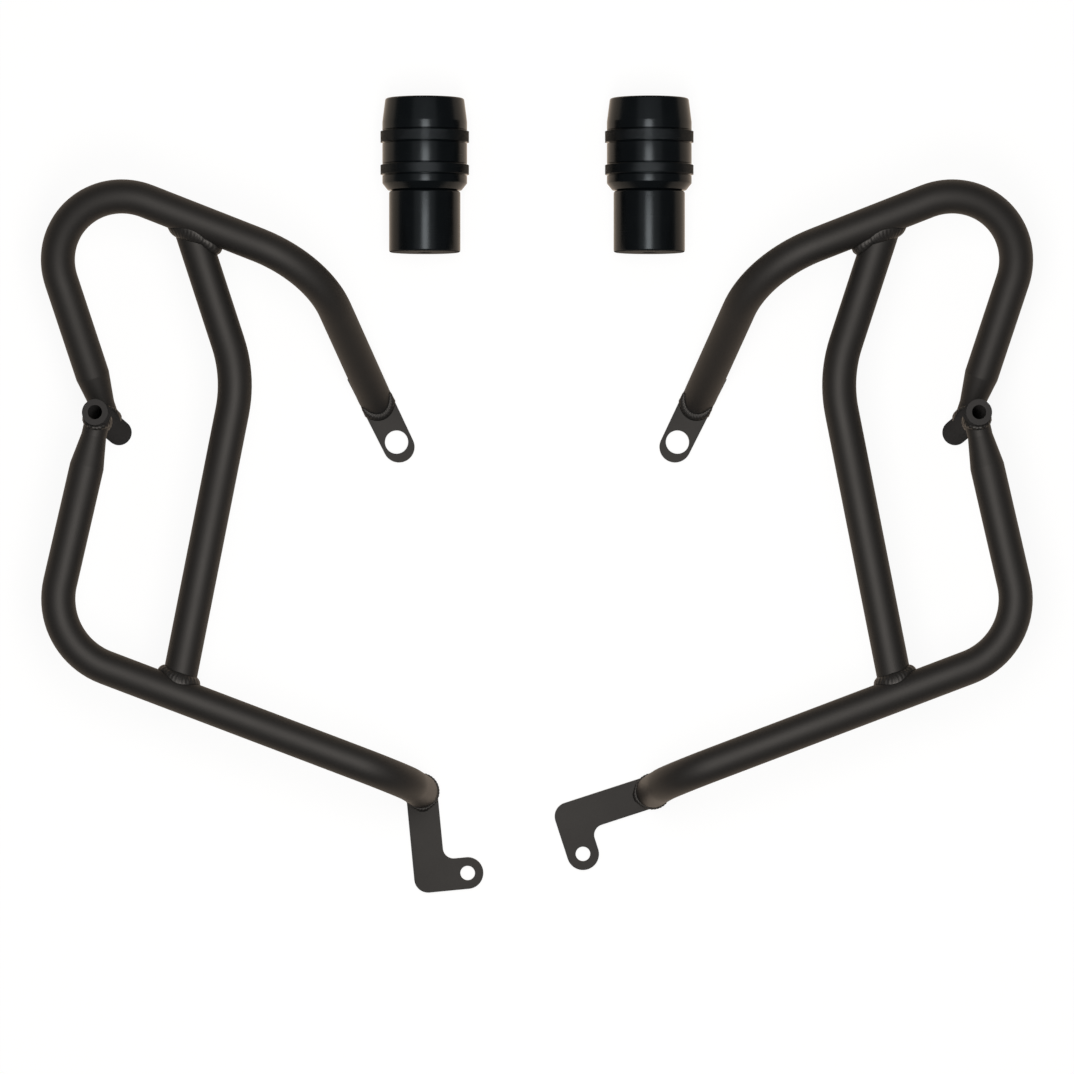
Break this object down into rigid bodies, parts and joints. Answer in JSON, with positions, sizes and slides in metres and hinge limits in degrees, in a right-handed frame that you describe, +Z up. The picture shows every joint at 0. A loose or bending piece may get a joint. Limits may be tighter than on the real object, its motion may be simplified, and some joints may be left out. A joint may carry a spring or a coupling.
{
  "type": "motorcycle crash bars",
  "caption": "Bent-tube crash guards for both sides of a motorcycle, with welded mounting plates, bosses and turned bolt-on sliders.",
  "frame": {"origin": "centre of the set's bounding box, at the level of the bars' mounting faces", "axes": "+X across the set to its right bar, +Y to the sliders' heads, +Z up out of the mounting faces"},
  "size_m": [0.7284, 0.5926, 0.1244],
  "materials": {
    "powder_coat": "satin",
    "coated_weld": "satin",
    "slider_head": "gloss",
    "slider_spacer": "gloss"
  },
  "bodies": {
    "root": {"left_hoop_tube": "powder_coat", "left_lower_tube": "powder_coat", "left_brace_tube": "powder_coat", "left_boss_tube": "powder_coat", "left_eye_plate": "powder_coat", "left_lower_bracket": "powder_coat", "left_eye_weld": "coated_weld", "left_bracket_weld": "coated_weld", "left_boss_upper_weld": "coated_weld", "left_boss_lower_weld": "coated_weld", "left_brace_top_weld": "coated_weld", "left_brace_bottom_weld": "coated_weld", "right_hoop_tube": "powder_coat", "right_lower_tube": "powder_coat", "right_brace_tube": "powder_coat", "right_boss_tube": "powder_coat", "right_eye_plate": "powder_coat", "right_lower_bracket": "powder_coat", "right_eye_weld": "coated_weld", "right_bracket_weld": "coated_weld", "right_boss_upper_weld": "coated_weld", "right_boss_lower_weld": "coated_weld", "right_brace_top_weld": "coated_weld", "right_brace_bottom_weld": "coated_weld", "left_slider_head": "slider_head", "left_slider_spacer": "slider_spacer", "right_slider_head": "slider_head", "right_slider_spacer": "slider_spacer"}
  },
  "joints": []
}
